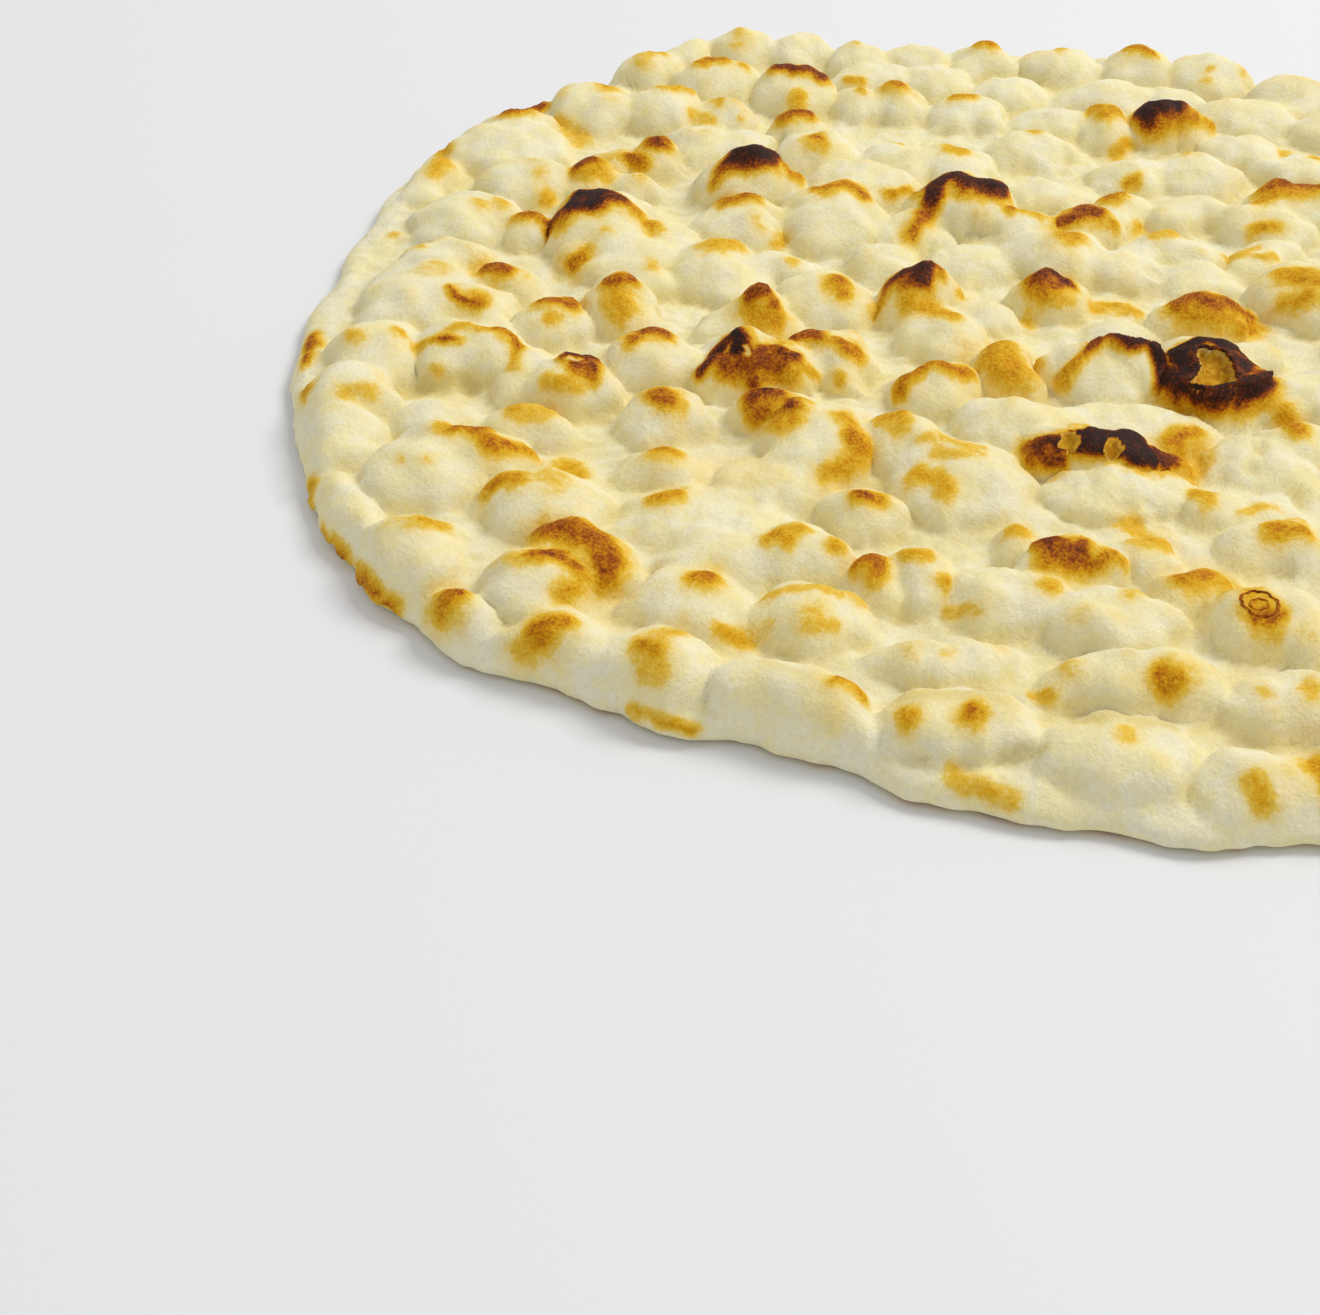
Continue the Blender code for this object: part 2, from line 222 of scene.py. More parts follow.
def softNoise(x, y, size, seed):  # smooth bumps about that size, from about -1 to 1
    cells = 64
    angles = np.random.RandomState(seed).uniform(0.0, math.tau, (cells, cells))
    gx, gy = x / size, y / size
    ix, iy = np.floor(gx).astype(int), np.floor(gy).astype(int)
    fx, fy = gx - ix, gy - iy

    def corner(i, j):
        angle = angles[(ix + i) % cells, (iy + j) % cells]
        return np.cos(angle) * (fx - i) + np.sin(angle) * (fy - j)

    tx = fx * fx * fx * (fx * (fx * 6 - 15) + 10)
    ty = fy * fy * fy * (fy * (fy * 6 - 15) + 10)
    low = corner(0, 0) * (1 - tx) + corner(1, 0) * tx
    high = corner(0, 1) * (1 - tx) + corner(1, 1) * tx
    return 1.5 * (low * (1 - ty) + high * ty)


roundOnes = [(x, y, length, width, 0.0, height) for x, y, length, width, height in blisters]
tableBlisters = roundOnes + list(ridges)
filled = fillingBlisters(tableBlisters)
allBlisters = tableBlisters + filled
print("blisters:", len(allBlisters) + len(peaks), "of which", len(filled), "by rule")


def warped(x, y):  # places moved a little, so that no blister is a clean oval
    waves, size = naan["warpWaves"], naan["fineWarpSize"]
    wx = x + naan["warp"] * np.sin(y / waves[0] + 1.0) * np.cos(x / waves[1])
    wy = y + naan["warp"] * np.sin(x / waves[2] + 2.0) * np.cos(y / waves[3])
    return wx + naan["fineWarp"] * softNoise(x, y, size, 3), wy + naan["fineWarp"] * softNoise(x, y, size, 4)


def blisterHeight(x, y):  # joined blisters over the sheet
    wx, wy = warped(x, y)
    uneven = 1.0 + naan["uneven"] * softNoise(x, y, naan["unevenSize"], 5)
    total = np.zeros_like(x)
    for cx, cy, length, width, turn, height in allBlisters:
        c, s = math.cos(math.radians(turn)), math.sin(math.radians(turn))
        dx, dy = wx - cx, wy - cy
        along = (dx * c + dy * s) / (length * naan["spread"])
        across = (dy * c - dx * s) / (width * naan["spread"])
        outward = along * along + across * across
        far = smoothStep(0.0, 1.0, dy / width)  # the far side slopes more gently
        power = naan["nearPower"] + (naan["farPower"] - naan["nearPower"]) * far
        dome = (1.0 - naan["skirt"]) * np.maximum(1.0 - outward, 0.0) ** power
        skirt = naan["skirt"] * np.maximum(1.0 - outward / naan["skirtReach"] ** 2, 0.0) ** 2
        total += (naan["rise"] * height * uneven * (dome + skirt)) ** naan["blendPower"]
    for cx, cy, length, width, height in peaks:
        slant = np.maximum(1.0 - np.hypot((wx - cx) / length, (wy - cy) / width), 0.0)
        total += (height * slant ** naan["peakPower"]) ** naan["blendPower"]
    return total ** (1.0 / naan["blendPower"])


def quarterRound(inside, width):  # from 0 at the edge to 1 at that width
    share = np.minimum(inside / width, 1.0)
    return np.sqrt(1.0 - (1.0 - share) ** 2)


def topHeight(x, y):
    inside = np.maximum(edgeDistance(x, y), 0.0)
    waveX, waveY = naan["sheetWaves"]
    sheet = naan["sheet"] + naan["sheetWave"] * np.sin(x / waveX + 0.6) * np.cos(y / waveY - 0.4)
    sheet = naan["lipEdge"] + (sheet - naan["lipEdge"]) * quarterRound(inside, naan["lipWidth"])
    return sheet + blisterHeight(x, y) * quarterRound(inside, naan["riseWidth"])


def fineRelief(x, y, blister):
    low = np.clip(1.0 - blister / relief["wrinkleTop"], 0.0, 1.0)
    lumps = sum(height * softNoise(x, y, size, seed) for height, size, seed in relief["lumps"])
    bent = x + relief["bend"] * softNoise(x, y, relief["bendSize"], 13)
    wrinkles = 1.0 - np.abs(softNoise(bent, y * relief["wrinkleStretch"], relief["wrinkleSize"], 14)) * 2.0
    shallow, more = relief["wrinkle"]
    return lumps + (shallow + more * low) * np.clip(wrinkles, 0.0, 1.0) ** 2


def extrudeEdge(bm):  # a new ring round the open edge, still in the same place
    border = [edge for edge in bm.edges if edge.is_boundary]
    new = bmesh.ops.extrude_edge_only(bm, edges=border)["geom"]
    return [item for item in new if isinstance(item, bmesh.types.BMVert)]


def getPlaces(mesh):
    co = np.zeros(len(mesh.vertices) * 3)
    mesh.vertices.foreach_get("co", co)
    return co.reshape(-1, 3)


def getNormals(mesh):
    normals = np.zeros(len(mesh.vertices) * 3)
    mesh.vertex_normals.foreach_get("vector", normals)
    return normals.reshape(-1, 3)


def setPlaces(mesh, places):
    mesh.vertices.foreach_set("co", places.ravel())
    mesh.update()


def flatNaan():  # a flat disc with its rings, its edge turned under and closed
    bm = bmesh.new()
    bmesh.ops.create_grid(bm, x_segments=naan["gridCells"], y_segments=naan["gridCells"], size=1.0)
    scale = naan["radius"] * naan["gridShare"]
    for left, near, right, far in naan["finer"]:
        cut = [edge for edge in bm.edges if all(
            left < vert.co.x * scale < right and near < vert.co.y * scale < far for vert in edge.verts)]
        bmesh.ops.subdivide_edges(bm, edges=cut, cuts=1, use_grid_fill=True)
    rings = naan["edgeRings"]
    for ring in range(rings):
        oldShare = 1.0 - (1.0 - naan["gridShare"]) * (1.0 - ring / rings) ** naan["edgeCrowding"]
        share = 1.0 - (1.0 - naan["gridShare"]) * (1.0 - (ring + 1) / rings) ** naan["edgeCrowding"]
        for vert in extrudeEdge(bm):
            vert.co *= share / oldShare
    for count in range(len(naan["underRings"])):  # marked by their level until the places are worked out
        for vert in extrudeEdge(bm):
            vert.co.z = -1.0 - count
    bmesh.ops.edgeloop_fill(bm, edges=[edge for edge in bm.edges if edge.is_boundary])
    bmesh.ops.recalc_face_normals(bm, faces=bm.faces)
    mesh = bpy.data.meshes.new("naanCrust")
    bm.to_mesh(mesh)
    bm.free()
    return mesh


def shapeNaan(mesh):
    u, v, level = getPlaces(mesh).T
    wide = np.abs(u) > np.abs(v)  # the square's rings become circles
    safeU, safeV = np.where(u == 0, 1e-9, u), np.where(v == 0, 1e-9, v)
    angle = np.where(
        wide,
        np.where(u < 0, math.pi, 0.0) + math.pi / 4 * v / safeU,
        np.where(v < 0, -1.0, 1.0) * math.pi / 2 - math.pi / 4 * u / safeV,
    )
    share = np.maximum(np.abs(u), np.abs(v)) * naan["gridShare"]
    lastRings = np.clip(share * 12 - 11, 0, 1)  # the outer twelfth
    ragged = softNoise(angle * naan["raggedSteps"], angle * 0.0, naan["raggedSize"], 21)
    edge = edgeRadius(angle) + naan["ragged"] * ragged * lastRings
    inset, height = np.zeros_like(u), np.zeros_like(u)
    for count, (inward, up) in enumerate(naan["underRings"]):
        here = level == -1.0 - count
        inset[here], height[here] = inward, up
    x = naan["middle"][0] + (share * edge - inset) * np.cos(angle)
    y = naan["middle"][1] + (share * edge - inset) * np.sin(angle)
    onTop = level == 0.0
    z = np.where(onTop, topHeight(x, y), height)
    setPlaces(mesh, np.stack([x, y, z], axis=1))
    return onTop


def smoothVerts(bm, verts, share):
    bmesh.ops.smooth_vert(bm, verts=verts, factor=share, use_axis_x=True, use_axis_y=True, use_axis_z=True)


def roundSkin(mesh, onTop):
    bm = bmesh.new()
    bm.from_mesh(mesh)
    tops = [vert for vert, top in zip(bm.verts, onTop) if top]
    skin = [vert for vert in tops if edgeDistance(vert.co.x, vert.co.y) > naan["roundFrom"]]
    for _ in range(naan["rounding"]):
        smoothVerts(bm, skin, naan["roundShare"])
    bm.to_mesh(mesh)
    bm.free()


def liftSkin(mesh, onTop):  # blisters swell over their feet, and the skin gets its small relief
    places, normals = getPlaces(mesh), getNormals(mesh)
    x, y = places[:, 0], places[:, 1]
    blister = blisterHeight(x, y)
    inside = np.clip(edgeDistance(x, y) / naan["skinFade"], 0.0, 1.0) * onTop
    lift = naan["swell"] * smoothStep(*naan["swellRise"], blister) + fineRelief(x, y, blister)
    setPlaces(mesh, places + normals * (lift * inside)[:, None])


crust = flatNaan()
onTop = shapeNaan(crust)
roundSkin(crust, onTop)
liftSkin(crust, onTop)
places = getPlaces(crust)
print("crust vertices:", len(places))

view = {
    "eye": (-87.3, -421.1, 243.9),  # mm, in the same frame as the tables
    "down": 39.3,  # degrees
    "roll": 0.6,
    "sensor": 36.0,
    "lens": 54.545,
    "clip": (0.01, 20.0),  # metres
    "readAt": 11.0,  # the height at which the places of the marks are written down
    "backs": (0.0, 1.0, 2.0, 3.0, 4.0),  # each line is tried this much nearer too, as it may graze a crest
    "grazing": 0.3,  # a skin turned this far away is only grazed
    "crestGap": 4.0,  # a hit this much nearer is on the crest
    "step": 1.5,  # along the line of a mark
}

# toasted marks: how dark, half width, then the places of their line as seen from the eye
toastMarks = (
    # near rim and the left rim
    (0.55, 4.5, -128, -120, -128, -124), (0.7, 2, -128, -118.5, -125, -118.5),
    (0.46, 4.5, -109, -128, -111, -134), (0.66, 2.6, -110, -130), (0.6, 2.5, -107, -126, -105, -126),
    (0.34, 3.6, -90, -134, -87.5, -140), (0.55, 2, -91, -133, -87, -135),
    (0.55, 1.2, -92, -151, -87, -154.5, -81, -157.5), (0.5, 2, -76, -129, -73, -130, -71.5, -133),
    (0.3, 3.5, -88, -126, -83, -125), (0.62, 1.5, -55.5, -139.5, -52.5, -142.5, -50.5, -147),
    (0.5, 3.1, -42.5, -152.5), (0.58, 3.1, -31.5, -151.5), (0.36, 2.4, -36, -168, -32, -171, -28, -174),
    (0.66, 3.2, 3.5, -142, 6, -142), (0.3, 2.5, -12, -138), (0.42, 1.6, -20, -147, -17, -147),
    (0.28, 3, -5, -157), (0.45, 3, 15, -168, 15, -174), (0.5, 5, 27, -165, 30, -170),
    (0.84, 2, -149.5, -106, -146, -111.5, -142, -117.5, -137, -123), (0.68, 2.2, -167, -22, -167, -34),
    (0.5, 3.2, -165, -43), (0.65, 2, -167, -56, -165, -66, -164, -75), (0.5, 2.5, -159, -82),
    (0.6, 1.3, -159, -86, -155.5, -96, -151, -103), (0.42, 3.5, -147, 63, -146, 75, -145, 87),
    # rows behind the near rim
    (0.76, 1.8, -112, -104.5, -108, -105, -104.5, -109), (0.5, 3, -103, -112, -106, -117),
    (0.3, 3, -116, -107), (0.68, 4.6, -111, -97, -105, -96.5, -99.5, -101, -97, -109),
    (0.58, 4.2, -98, -114), (0.62, 3.2, -80, -110, -76, -108.5),
    (0.29, 2, -67, -117, -65, -113, -58, -111.5, -51, -114, -49, -119), (0.36, 1.7, -61, -126, -55, -126.5),
    (0.3, 1.8, -67, -127), (0.2, 3, -34, -134), (0.2, 3, -41, -134),
    (0.66, 2.4, -49, -106, -45, -106, -46, -111), (0.5, 2, -39, -103, -35, -104), (0.5, 2.2, -33, -112),
    (0.3, 2, -33, -122, -27, -122), (0.4, 2, -6, -108, -2, -107), (0.25, 3, 3, -116),
    (0.42, 5, 26.5, -118, 28, -123), (0.78, 1.6, 25.5, -123, 28.5, -123.2, 30.5, -121.8),
    (0.58, 3, 13, -108, 19, -108), (0.42, 5, 14, -109, 22, -111), (0.25, 2.5, 22, -145),
    (0.42, 3, 31, -143), (0.45, 1.9, -136, -92.5, -131, -93.8), (0.48, 2.4, -66, -99, -62, -95.5, -59, -96),
    (0.5, 2.8, -53, -101), (0.42, 4, -15.5, -94), (0.8, 2, -12, -98.5, -8, -99.5, -4, -100.5),
    (0.7, 2.6, -11, -103, -5, -104), (0.6, 2.8, -12, -106, -2, -106, 2, -105), (0.45, 3, -13, -110),
    (0.38, 3.5, 7, -93.5, 13, -98), (0.55, 3, 35, -94, 41, -95), (0.33, 1.2, 30, -88, 36, -86, 42, -88),
    (0.5, 3, -88, -81, -84, -84), (0.72, 2.2, -47.5, -80.5, -45, -81), (0.5, 3, -46, -83, -43, -85),
    # round the lower burst blister and to its left
    (0.45, 2.6, -135, -60, -131, -58), (0.66, 2.2, -132, -59, -128, -58.5, -125, -60),
    (0.62, 2.6, -127, -61, -124, -66), (0.6, 1.8, -123, -64, -119, -67.5, -114, -69.5),
    (0.27, 2, -142, -73), (0.27, 2, -136, -71), (0.55, 2.5, -123, -84, -120, -79, -116, -76),
    (0.4, 3, -108, -70, -104, -73), (0.25, 6, -110, -78), (0.12, 8, -80, -70, -65, -75),
    (0.5, 3.6, -88, -68, -86, -68), (0.48, 3.2, -49, -54, -45, -60, -44.5, -67, -48, -73, -53, -77),
    (0.6, 2.4, -47, -61, -46, -67), (0.52, 3, -64, -53, -58, -55), (0.4, 4, -33, -76, -29, -80),
    (0.3, 2, -32, -62, -26, -60, -20, -62, -22, -68, -30, -68), (0.42, 3.5, 24, -83),
    (0.55, 3, 48, -50, 50, -56), (0.97, 3, 1, -62, 5.5, -62.5, 11, -62, 13.5, -66, 15, -70),
    (0.93, 2.2, 4, -60, 8, -59, 12, -58.5, 14, -63),
    (0.97, 2.4, -3, -64, 2, -65, 7, -66, 10, -67, 12.5, -70), (0.86, 2.4, 16, -67.5, 18, -71),
    (0.82, 2.2, -7, -65, -4, -62.5, -1, -61), (0.76, 2.6, -7, -68, -4.5, -70),
    (0.68, 2.8, -10, -66.5, -9, -70.5), (0.8, 2.5, 16.5, -66, 19, -70), (0.55, 3, 20.5, -61.5, 27, -59),
    (0.5, 4, 22, -66, 22, -73), (0.5, 2.5, 22, -78), (0.32, 5, 25, -66, 24, -73),
    # upper burst blister
    (0.9, 1.4, 9, -25.8, 11.5, -22.5, 15, -22), (0.93, 1.5, 15, -22.3, 21.5, -22.3, 24, -24, 26.5, -26),
    (0.66, 1.2, 2.5, -34.5, 5.5, -30, 9, -25.5), (0.45, 2.5, 1, -39, 5, -31, 10, -24),
    (0.7, 2.2, 24, -29, 24.5, -35, 23, -40), (0.97, 2.6, 28.5, -28, 29, -34, 28, -39),
    (0.95, 2.6, 24.5, -27, 25, -33, 25.5, -38), (0.97, 3, 31, -27, 30.5, -35), (0.95, 2, 43, -27, 44, -33),
    (0.97, 2, 29, -26, 34.5, -22.5, 38, -20, 41, -19.5, 43.5, -22),
    (0.93, 1.8, 43, -25, 43.5, -28, 43, -33, 42, -36),
    (0.93, 3.6, 27, -41, 31, -44, 36, -44.5, 41, -42.5, 46, -38.5), (0.92, 2, 41.5, -28, 41.5, -36),
    (0.5, 2.6, 24, -46, 28, -49, 34.5, -50.5, 40, -49, 45, -45), (0.5, 2, 45.5, -28, 46, -33),
    # left and middle, from the near side to the far side
    (0.3, 3, -157, -46, -151, -46), (0.35, 3, -158, -22), (0.42, 2.5, -148, -20),
    (0.78, 1.3, -137.5, -23, -134, -24),
    (0.45, 1.5, -144, -28, -140, -24, -135, -18, -129, -15, -125, -17, -122, -22),
    (0.68, 1.7, -126, -17, -122, -22, -120.5, -27), (0.45, 2, -121, -28, -120, -35), (0.42, 2.2, -138, -37),
    (0.86, 1.9, -109.5, -29.5, -106.5, -28, -103.5, -28.5, -102, -31, -102, -35.5),
    (0.8, 1.3, -109, -31, -107.5, -33.5, -105, -34), (0.66, 2.6, -107, -36, -103, -38),
    (0.4, 2.6, -113, -40, -106, -41), (0.48, 2.5, -120, -48), (0.35, 4, -118, -50, -112, -52),
    (0.68, 3, -94, -18, -87, -17), (0.68, 3.5, -88, -46, -86, -49),
    (0.97, 2.4, -70.5, -19, -69.5, -22, -70, -26), (0.86, 2, -72, -22, -75, -29, -78.5, -36.5),
    (0.78, 1.8, -66, -26, -61, -27, -57, -29.5), (0.45, 2.4, -56, -33),
    (0.73, 4.6, -72.5, -32, -66, -30, -61.5, -31), (0.52, 3.4, -74, -37, -66, -38, -58, -36),
    (0.42, 1.6, -54.5, -35, -53.5, -38), (0.76, 2.2, -68, -37, -67, -41),
    (0.8, 2.6, -67, -44.5, -62, -45, -58, -46.5), (0.64, 3, -67, -49, -66, -54), (0.5, 2.4, -63, -49),
    (0.7, 3, -57, -17, -52, -16), (0.6, 3, -47, -23, -44, -27), (0.4, 3, -48, -38),
    (0.6, 2.2, -35, -45, -33, -36, -28, -32, -23, -31, -19, -35), (0.45, 3, -36, -50),
    (0.45, 3.5, -40, -53, -36, -56), (0.48, 7, -12, -26, -9, -35), (0.6, 2, -3, -31),
    (0.2, 3.5, -145, 15, -141, 11), (0.4, 2, -147, 25), (0.4, 2, -154, 27),
    (0.76, 1.5, -137.5, 0, -137, -3, -133, -6.5, -130, -8), (0.45, 4.6, -132, -5),
    (0.7, 3.8, -129, 11.5, -125, 9.5), (0.68, 2.5, -116, -5, -112, -3, -108, -3), (0.45, 2.5, -113, -13),
    (0.68, 2.5, -101, 4, -97, 7, -95, 8), (0.45, 5, -98, 0, -97, -8), (0.3, 3, -90, 12),
    (0.38, 3.5, -76, 24, -70, 26), (0.35, 3, -59, 26), (0.3, 2.5, -56, 17), (0.8, 3, -64, 2, -67, -1),
    (0.7, 3, -62, -5), (0.48, 4.5, -67, -9, -62, -13), (0.6, 3.6, -45, 8, -45, 1),
    (0.92, 3.6, -25, 13, -26, 8), (0.9, 2, -31, 9, -28, 14, -24, 15), (0.76, 2.6, -31, 6, -29, 4),
    (0.74, 2.6, -31, 8, -34, 3), (0.66, 2, -21, 12, -21, 8), (0.45, 4, -28, 3, -30, -4), (0.5, 3, -36, -3),
    (0.45, 3, -38, -10), (0.48, 2.8, -27, -5, -20, -6), (0.3, 4, -17, 1), (0.42, 2.5, -3, -13),
    (0.68, 3.6, 1, 6, 8, 6), (0.48, 3.2, 2, 0, 7, 0), (0.88, 1.9, 3, 9, 6, 11.5, 9, 10),
    (0.85, 1, 9, 7, 10, 3), (0.4, 2.5, 13, -6, 23, -5), (0.68, 3.2, 33, -2, 38, 0, 43, -3),
    (0.5, 5, 36, -7, 44, -8), (0.66, 2.2, 44, -2, 48, -6, 49.5, -11), (0.62, 2.8, 46, -14, 49, -16),
    (0.48, 5, 63, 11, 70, 9), (0.45, 4, 60, -2, 66, 0),
    # behind the middle
    (0.3, 3, -134, 45), (0.3, 3, -129, 49), (0.65, 2.5, -124, 41, -119, 40), (0.48, 3, -117, 47),
    (0.8, 1.6, -110.5, 47, -113, 42, -115.5, 34, -115.5, 29), (0.5, 3, -111, 42, -113, 33),
    (0.97, 3.8, -110, 48, -104, 49.5), (0.84, 2.8, -102, 50, -99, 49), (0.66, 3, -108, 43.5, -103, 44),
    (0.55, 2.6, -98, 47, -94, 42), (0.46, 3, -92, 38, -90, 32), (0.58, 4.6, -108.5, 14),
    (0.22, 3, -102, 31), (0.97, 4, -68, 74, -64, 77, -60, 73), (0.8, 2.6, -72, 67, -67, 69.5, -60, 69.5),
    (0.6, 2.5, -74, 60, -72, 66), (0.58, 2, -57, 70, -52, 64), (0.45, 3, -66, 66),
    (0.62, 2.5, -73, 51, -64, 51), (0.6, 2.5, -49, 58, -44, 60, -39, 57, -36, 52), (0.42, 4, -46, 54),
    (0.62, 3.2, -26, 29, -24, 36, -21, 42), (0.93, 3, -18, 50, -17, 57, -12, 62, -7, 61, -1, 57),
    (0.85, 3, -6, 55, -1, 53), (0.6, 2, 1, 48), (0.62, 1.4, -31, 53, -25, 55, -20, 57),
    (0.4, 1.5, 3, 44, 8, 42), (0.5, 3, -11, 53, -7, 52), (0.75, 3.5, 13, 41, 18, 45, 22, 43),
    (0.5, 4, 12, 35, 14, 30), (0.55, 2.5, 25, 36), (0.55, 2.2, 36, 62, 32, 59), (0.62, 2.8, 30, 56, 26, 52),
    (0.45, 2, 24, 48), (0.35, 2, 30, 35, 40, 36), (0.5, 2.5, 60, 34, 66, 36), (0.33, 2.5, 50, 23, 57, 28),
    (0.4, 1.2, 57, 20, 64, 22), (0.68, 3, 68, 60, 75, 62, 84, 63), (0.48, 4, 66, 55, 80, 57),
    (0.3, 4, -116, 92, -110, 84), (0.8, 2.6, -110, 70, -106.5, 69.5), (0.42, 4.5, -110, 66, -104, 64),
    (0.76, 2.4, -97, 70.5, -94, 71), (0.8, 2.8, -91, 82, -88.5, 81), (0.22, 6, -104, 72, -93, 75),
    (0.6, 3.5, -47, 87), (0.42, 4, -46, 82), (0.7, 2.8, -55, 101, -51, 103.5, -48, 105),
    (0.42, 3.5, -51, 108, -50, 112), (0.3, 3, -79, 98, -74, 95), (0.35, 2, -67, 97), (0.35, 2, -25, 86),
    (0.42, 3, -12, 84, -8, 83), (0.48, 3, 33, 78, 37, 82), (0.28, 4, 52, 82), (0.33, 3, 13, 95),
    (0.5, 3.5, 32, 107, 36, 105), (0.97, 4.5, 46, 104, 50, 109, 54, 108), (0.9, 3.5, 46, 98),
    (0.6, 4, 50, 100, 58, 102), (0.5, 4, 46, 92, 52, 95), (0.5, 2, 60, 99, 63, 95), (0.33, 2.5, 78, 82),
    (0.45, 3, 86, 79),
    # far rows
    (0.75, 2.5, -131, 103, -126, 106, -121, 105), (0.55, 2, -124, 99), (0.42, 4, -104, 118),
    (0.5, 1.7, -89, 118, -85, 120, -80, 117), (0.45, 3, -72, 111),
    (0.62, 2, -78, 137, -74, 140.5, -70, 139), (0.42, 2.5, -65, 133),
    (0.82, 2.2, -56, 130, -52, 134, -47, 133, -42, 128), (0.42, 3, -51, 113),
    (0.38, 2.5, -94, 146, -89, 145), (0.28, 3, -81, 158), (0.48, 4, -68, 166, -61, 168),
    (0.48, 1.8, -36, 124, -32, 123, -32, 118), (0.6, 4, -22, 121), (0.48, 2.2, -7, 116, -1, 117),
    (0.33, 2, -31, 155), (0.52, 2.5, 4, 154, 9, 152), (0.33, 2.5, 28, 150),
    (0.55, 2.5, 47, 152, 52, 152, 55, 148), (0.3, 2, 70, 134), (0.35, 2, 78, 132), (0.35, 2, 67, 126),
)

# folds of the skin, up or down: height, half width, then the places of their line in the same way
folds = (
    (-0.8, 1.4, -44, -164, -33, -165, -22, -161),
    (1.3, 1.3, 24, -24, 18, -22.5, 12, -22, 8, -26, 4, -31, 1, -37), (-1.8, 1.8, -11, 32, -5, 32),
    (-1.6, 3, -143, -45, -136, -42, -130, -41), (-2, 2.6, 40, -63), (-1.2, 2, 36, -72), (-1.4, 2.6, 31, 13),
    (-1.4, 2, 17, 113), (-1.4, 2.6, 27, 127), (-1.0, 2.2, -38, -133, -31, -134),
    (-0.9, 1.6, 26, -140, 30, -141), (2.2, 1.8, 27, -41, 30.5, -43, 35, -43.5, 40.5, -41, 46, -38),
)

# painted olive-yellow shade in the hollows and folds, written as the toasted marks are
paintedShadeMarks = (
    (0.7, 1.8, -70, -131, -66, -135, -60, -137), (0.9, 1.6, -19, -148, -14, -149.5, -6, -150.5, 4, -150.5),
    (0.9, 2, -44, -146, -34, -144, -26, -143), (0.7, 2, -28, -162, -20, -160),
    (0.9, 3.0, -143, -45, -136, -42, -130, -41), (0.6, 3, -112, -59), (0.7, 2.5, 40, -63),
    (0.5, 2, 36, -72), (0.5, 2.5, 31, 13), (0.6, 1.5, -10, 32, -6, 32), (0.5, 2, 17, 113),
    (0.5, 2.5, 27, 127),
)

# marks on the side that has none in the table
markRule = {
    "seed": 12,
    "share": 0.8,  # of the blisters there
    "radius": (2.4, 4.6),
    "depth": (0.32, 0.82),
    "aside": 0.3,  # these two in shares of the blister's length
    "reach": 0.35,
    "back": 2.0,  # further along Y than the blister's middle
    "above": 60.0,  # the marks are dropped onto the skin from here
    "rightOf": (38.0, -150.0, 0.25),  # this side starts at a slanting line: x, y, slant
}

# how a mark fades: distances from its line are in shares of its half width
markFade = {
    "size": 0.9,
    "reach": 3.2,
    "leap": 4.0,  # mm, a line that jumps this far leaves one blister for another
    "core": (0.3, 1.25),
    "charredFrom": 0.6,
    "charredMore": (0.25, 0.05),  # the core of a charred mark is this much wider
    "gold": 0.36,
    "goldEdge": (0.25, 1.65),  # gold round the darker middle
    "halo": 0.34,
    "haloEdge": (0.8, 2.5),
    "ragged": ((0.32, 4.5, 31), (0.24, 2.2, 32)),  # how much, size, seed
    "shake": 1.1,
    "shakeSize": 6.0,
    "tilt": 0.8,  # the pattern of the edges runs down steep sides too
    "nubSize": 1.15,
}

warmth = {  # how the heat colours the plain skin, without a mark
    "tops": 0.08,
    "topHeights": (7.0, 14.0),
    "crests": 0.16,
    "crestRise": (0.05, 0.9),  # how far a crest stands out of its surroundings
    "crestBlur": 12,
    "crestSoften": 4,
    "patches": (0.55, 0.7),
    "patchSize": 9.0,
}

creaseShade = {  # painted shade at the feet of the blisters
    "blur": 8,
    "deep": 0.45,
    "soften": 4,
    "share": 0.85,
    "facing": (-0.1, 0.35),  # most of all on the shaded side that faces -Y
    "leastFacing": 0.35,
    "edge": (3.0, 9.0),
}


def meshTree(mesh):
    verts = [tuple(co) for co in getPlaces(mesh)]
    return BVHTree.FromPolygons(verts, [tuple(face.vertices) for face in mesh.polygons])


def sightCast(tree, x, y):  # along the line from the eye through that place
    eye = Vector(view["eye"])
    line = (Vector((x, y, view["readAt"])) - eye).normalized()
    return (line,) + tree.ray_cast(eye, line)[:2]


def sightPoint(tree, x, y):  # where that line lands; one that just clears a crest takes the crest's face
    eye = Vector(view["eye"])
    best, bestFacing = None, 0.0
    for back in view["backs"]:
        line, hit, normal = sightCast(tree, x, y - back)
        if hit is None:
            continue
        facing = -normal.dot(line)
        nearer = best is not None and (hit - eye).length < (best - eye).length - view["crestGap"]
        if best is None or nearer or (bestFacing < view["grazing"] and facing > bestFacing):
            best, bestFacing = hit, facing
    return best


def sightLine(tree, numbers):  # lines laid over the skin as seen from the eye
    stops = list(zip(numbers[::2], numbers[1::2]))
    seen = [stops[0]]
    for (x0, y0), (x1, y1) in zip(stops, stops[1:]):
        parts = max(int(math.hypot(x1 - x0, y1 - y0) / view["step"]), 1)
        for part in range(1, parts + 1):
            seen.append((x0 + (x1 - x0) * part / parts, y0 + (y1 - y0) * part / parts))
    points = [sightPoint(tree, x, y) for x, y in seen]
    return [tuple(point) for point in points if point is not None]


def lineDistance(places, line):  # from every place to a line of points
    nearest = np.full(len(places), np.inf)
    for start, end in zip(line, line[1:] or line):
        start, along = np.array(start), np.array(end) - np.array(start)
        if len(start) > 2 and along @ along > markFade["leap"] ** 2:
            along = along * 0.0
        size = max(along @ along, 1e-9)
        share = np.clip((places - start) @ along / size, 0.0, 1.0)
        nearest = np.minimum(nearest, np.linalg.norm(places - start - share[:, None] * along, axis=1))
    return nearest


